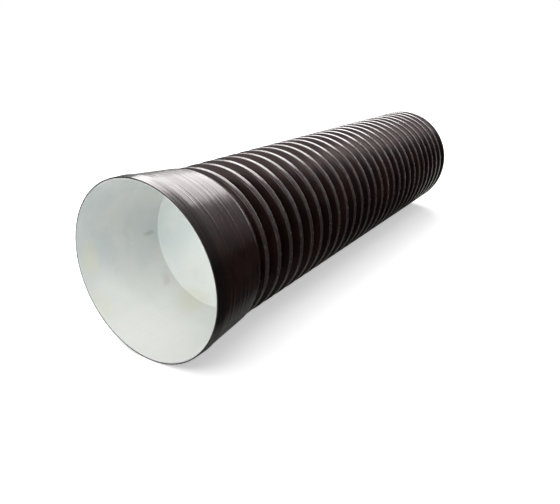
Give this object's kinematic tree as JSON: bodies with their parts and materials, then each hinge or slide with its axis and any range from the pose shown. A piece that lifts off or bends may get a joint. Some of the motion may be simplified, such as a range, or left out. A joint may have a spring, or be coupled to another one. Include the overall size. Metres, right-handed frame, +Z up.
{
  "type": "twin-wall drainage well shaft pipe",
  "caption": "Corrugated twin-wall plastic pipe for the shaft of a drainage well, black outside and white inside, with a flared socket at one end.",
  "frame": {"origin": "centre of the bore at the plain end's face, on the pipe's axis", "axes": "+X along the pipe's axis, out of the plain end, so the socket opens towards -X; +Z up as the pipe lies"},
  "size_m": [2.475, 0.684, 0.684],
  "materials": {
    "black_plastic": "smooth moulded, slightly glossy",
    "white_plastic": "smooth moulded, satin"
  },
  "bodies": {
    "root": {"corrugated_wall": "black_plastic", "smooth_liner": "white_plastic"}
  },
  "joints": []
}
